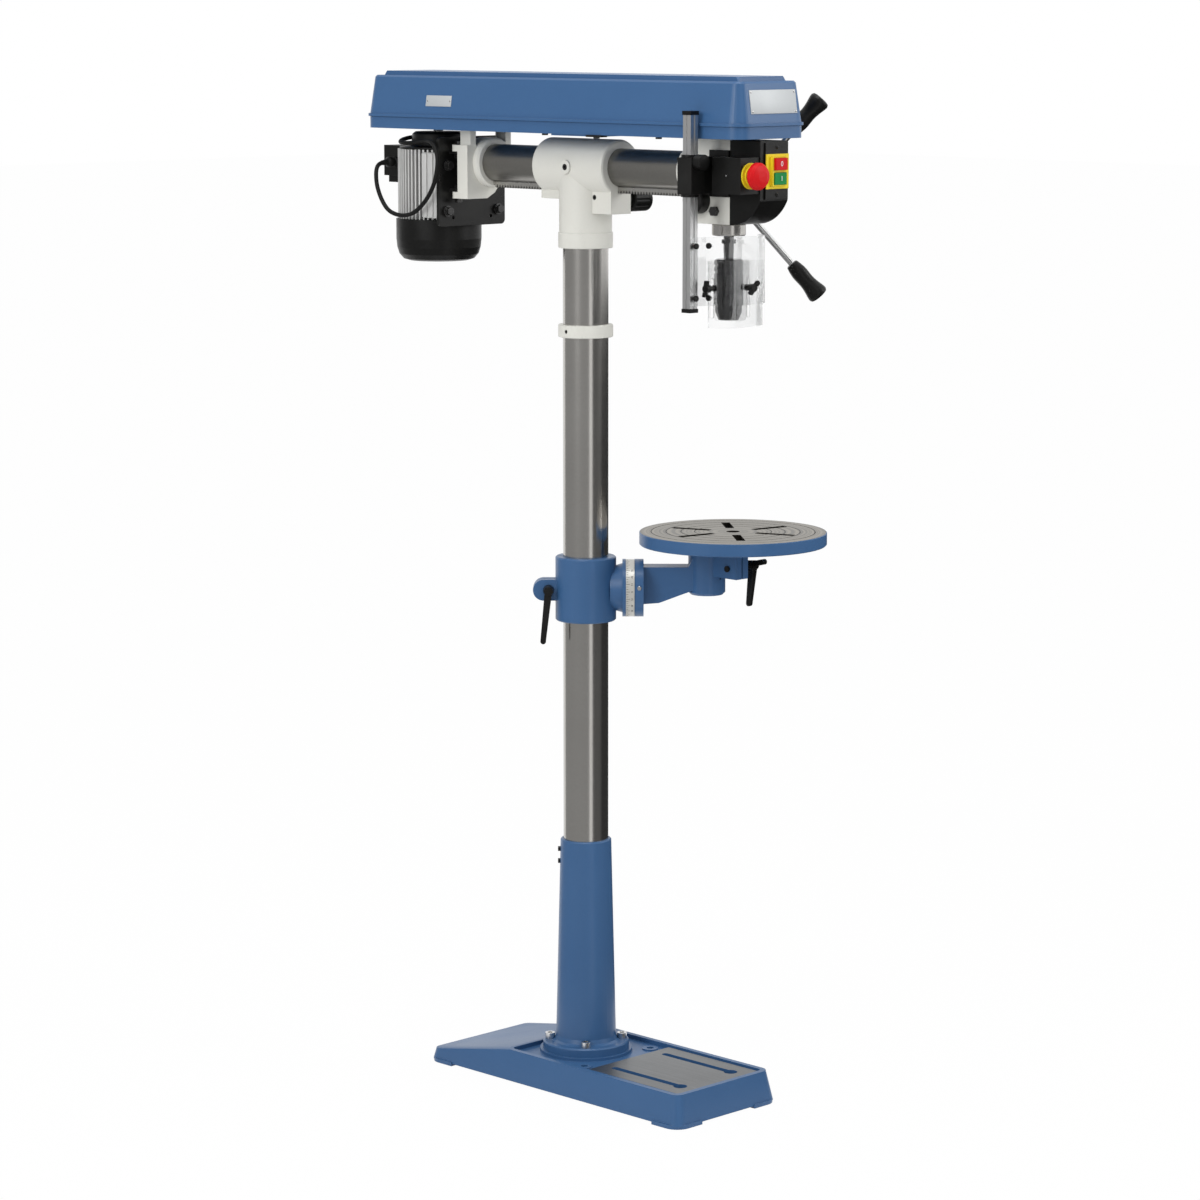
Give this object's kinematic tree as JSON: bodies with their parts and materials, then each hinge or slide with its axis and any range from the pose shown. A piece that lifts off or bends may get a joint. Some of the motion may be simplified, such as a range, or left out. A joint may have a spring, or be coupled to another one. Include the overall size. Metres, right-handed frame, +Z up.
{
  "type": "radial arm drill press",
  "caption": "Floor-standing radial drill: cast base, column, tilting round table, sliding and tilting ram with motor, belt drive, quill, chuck and shield.",
  "frame": {"origin": "column axis at the floor plane", "axes": "+X along the base towards its long front and the spindle, +Y to the feed-handle side, +Z up"},
  "size_m": [0.877, 0.4361, 1.636],
  "materials": {
    "blue_paint": "mid blue enamel on cast iron and sheet, slightly orange-peeled",
    "ivory_paint": "ivory enamel on castings",
    "ground_steel": "ground steel, oiled",
    "table_iron": "machined cast iron with turned marks",
    "bright_steel": "bright plated steel",
    "black_steel": "black oxide or black paint",
    "black_plastic": "moulded black plastic",
    "alloy": "ribbed aluminium casting",
    "rubber": "black rubber",
    "yellow_plastic": "yellow moulding",
    "red_plastic": "red moulding",
    "green_plastic": "green moulding",
    "clear_sheet": "clear polycarbonate sheet"
  },
  "bodies": {
    "stand": {"base": "blue_paint", "foot_column": "blue_paint", "flange_bolts": "bright_steel", "set_screws": "black_steel", "column": "ground_steel", "stop_collar": "ivory_paint"},
    "table_slide": {"table_sleeve": "blue_paint", "tilt_scale": "bright_steel"},
    "sleeve_clamp": {"sleeve_lever": "black_steel"},
    "tilting_arm": {"table_arm": "blue_paint"},
    "round_table": {"table": "table_iron"},
    "table_clamp": {"table_lever": "black_steel"},
    "support": {"arm_support": "ivory_paint", "lock_screws": "black_steel"},
    "pinion": {"pinion_shaft": "ground_steel", "rack_knob": "black_plastic"},
    "rack": {"ram_rack": "ground_steel"},
    "ram": {"ram_tube": "ground_steel", "motor_yoke": "ivory_paint", "head_casting": "ivory_paint", "front_housing": "black_plastic", "switch_plate": "yellow_plastic", "estop_box": "black_plastic", "cover_tray": "blue_paint", "casing_screws": "black_steel", "spring_cap": "black_steel", "return_spring": "bright_steel", "guard_bracket": "black_steel", "bracket_knob": "black_plastic", "drive_belt": "rubber"},
    "motor": {"motor_plate": "black_steel", "plate_bolts": "black_steel", "motor_frame": "alloy", "end_bell": "black_plastic", "fan_cover": "black_plastic", "terminal_box": "black_plastic", "motor_cable": "rubber"},
    "rotor": {"motor_rotor": "alloy", "motor_fan": "black_plastic"},
    "lid": {"cover_lid": "blue_paint"},
    "pulley": {"spindle_pulley": "alloy"},
    "quill": {"quill": "ground_steel", "quill_bearings": "bright_steel"},
    "spindle": {"spindle": "ground_steel", "chuck_body": "black_steel"},
    "chuck_ring": {"chuck_sleeve": "black_steel"},
    "jaw_1": {"chuck_jaw_1": "bright_steel"},
    "jaw_2": {"chuck_jaw_2": "bright_steel"},
    "jaw_3": {"chuck_jaw_3": "bright_steel"},
    "feed": {"feed_shaft": "ground_steel", "feed_rods": "bright_steel", "feed_knobs": "black_plastic"},
    "estop": {"estop_button": "red_plastic"},
    "stop": {"stop_button": "red_plastic"},
    "start": {"start_button": "green_plastic"},
    "guard_turn": {"guard_bush": "black_plastic"},
    "guard": {"guard_bar": "bright_steel", "upper_shield": "clear_sheet", "shield_fixings": "black_plastic"},
    "guard_skirt": {"lower_shield": "clear_sheet"}
  },
  "joints": [
    {"name": "table_height", "type": "slide", "parent": "stand", "child": "table_slide", "axis": [0, 0, 1], "range_m": [-0.35, 0.35]},
    {"name": "sleeve_clamp_turn", "type": "hinge", "parent": "table_slide", "child": "sleeve_clamp", "pos_m": [-0.04243, -0.04243, 0.812], "axis": [-0.7071, 0.7071, 0], "range_deg": [0, 100]},
    {"name": "table_tilt", "type": "hinge", "parent": "table_slide", "child": "tilting_arm", "pos_m": [0.05586, 0.05586, 0.814], "axis": [0.7071, 0.7071, 0], "range_deg": [-45, 45]},
    {"name": "table_turn", "type": "hinge", "parent": "tilting_arm", "child": "round_table", "pos_m": [0.13789, 0.13789, 0.86], "axis": [0, 0, 1], "range_deg": [-100, 100]},
    {"name": "table_clamp_turn", "type": "hinge", "parent": "tilting_arm", "child": "table_clamp", "pos_m": [0.19659, 0.13789, 0.852], "axis": [0, 1, 0], "range_deg": [-50, 50]},
    {"name": "arm_swing", "type": "hinge", "parent": "stand", "child": "support", "pos_m": [0, 0, 1.44], "axis": [0, 0, 1], "range_deg": [-180, 180]},
    {"name": "ram_travel", "type": "slide", "parent": "support", "child": "rack", "axis": [1, 0, 0], "range_m": [-0.14, 0.12]},
    {"name": "rack_knob_turn", "type": "hinge", "parent": "support", "child": "pinion", "pos_m": [0.06, 0, 1.438], "axis": [0, 1, 0], "range_deg": [-580, 500]},
    {"name": "head_tilt", "type": "hinge", "parent": "rack", "child": "ram", "pos_m": [0, 0, 1.49], "axis": [1, 0, 0], "range_deg": [-45, 45]},
    {"name": "motor_swing", "type": "hinge", "parent": "ram", "child": "motor", "pos_m": [-0.251, -0.042, 1.475], "axis": [0, 0, 1], "range_deg": [-3, 3], "deforming": ["drive_belt"]},
    {"name": "pulley_spin", "type": "hinge", "parent": "ram", "child": "pulley", "pos_m": [0.312, 0, 1.56], "axis": [0, 0, 1], "continuous": true},
    {"name": "motor_spin", "type": "hinge", "parent": "motor", "child": "rotor", "pos_m": [-0.345, 0, 1.45], "axis": [0, 0, 1], "continuous": true},
    {"name": "lid_open", "type": "hinge", "parent": "ram", "child": "lid", "pos_m": [0, 0.0838, 1.562], "axis": [1, 0, 0], "range_deg": [-55, 0]},
    {"name": "quill_feed", "type": "slide", "parent": "ram", "child": "quill", "axis": [0, 0, -1], "range_m": [0, 0.055], "stiffness_N_per_m": 300, "springref_m": -0.15},
    {"name": "feed_turn", "type": "hinge", "parent": "ram", "child": "feed", "pos_m": [0.27975, 0.046, 1.448], "axis": [0, 1, 0], "range_deg": [0, 284]},
    {"name": "spindle_spin", "type": "hinge", "parent": "quill", "child": "spindle", "pos_m": [0.312, 0, 1.4], "axis": [0, 0, 1], "continuous": true},
    {"name": "chuck_turn", "type": "hinge", "parent": "spindle", "child": "chuck_ring", "pos_m": [0.312, 0, 1.28], "axis": [0, 0, 1], "range_deg": [0, 360]},
    {"name": "jaw_1_slide", "type": "slide", "parent": "spindle", "child": "jaw_1", "axis": [0.2079, 0, 0.9781], "range_m": [0, 0.008]},
    {"name": "jaw_2_slide", "type": "slide", "parent": "spindle", "child": "jaw_2", "axis": [-0.104, 0.1801, 0.9781], "range_m": [0, 0.008]},
    {"name": "jaw_3_slide", "type": "slide", "parent": "spindle", "child": "jaw_3", "axis": [-0.104, -0.1801, 0.9781], "range_m": [0, 0.008]},
    {"name": "estop_press", "type": "slide", "parent": "ram", "child": "estop", "axis": [-1, 0, 0], "range_m": [0, 0.004], "stiffness_N_per_m": 800, "springref_m": -0.003},
    {"name": "stop_press", "type": "slide", "parent": "ram", "child": "stop", "axis": [-1, 0, 0], "range_m": [0, 0.003], "stiffness_N_per_m": 500, "springref_m": -0.002},
    {"name": "start_press", "type": "slide", "parent": "ram", "child": "start", "axis": [-1, 0, 0], "range_m": [0, 0.003], "stiffness_N_per_m": 500, "springref_m": -0.002},
    {"name": "guard_swing", "type": "hinge", "parent": "ram", "child": "guard_turn", "pos_m": [0.3185, -0.0925, 1.488], "axis": [0, 0, 1], "range_deg": [-110, 0]},
    {"name": "guard_height", "type": "slide", "parent": "guard_turn", "child": "guard", "axis": [0, 0, 1], "range_m": [-0.055, 0.014]},
    {"name": "skirt_height", "type": "slide", "parent": "guard", "child": "guard_skirt", "axis": [0, 0, 1], "range_m": [-0.01, 0.04]}
  ],
  "couplings": [
    {"joint": "rack_knob_turn", "follows": "ram_travel", "rad_per_m": 71.429},
    {"joint": "feed_turn", "follows": "quill_feed", "rad_per_m": 88.889},
    {"joint": "motor_spin", "follows": "pulley_spin", "ratio": 1},
    {"joint": "spindle_spin", "follows": "pulley_spin", "ratio": 1},
    {"joint": "jaw_1_slide", "follows": "chuck_turn", "m_per_rad": 0.0012732},
    {"joint": "jaw_2_slide", "follows": "chuck_turn", "m_per_rad": 0.0012732},
    {"joint": "jaw_3_slide", "follows": "chuck_turn", "m_per_rad": 0.0012732}
  ]
}
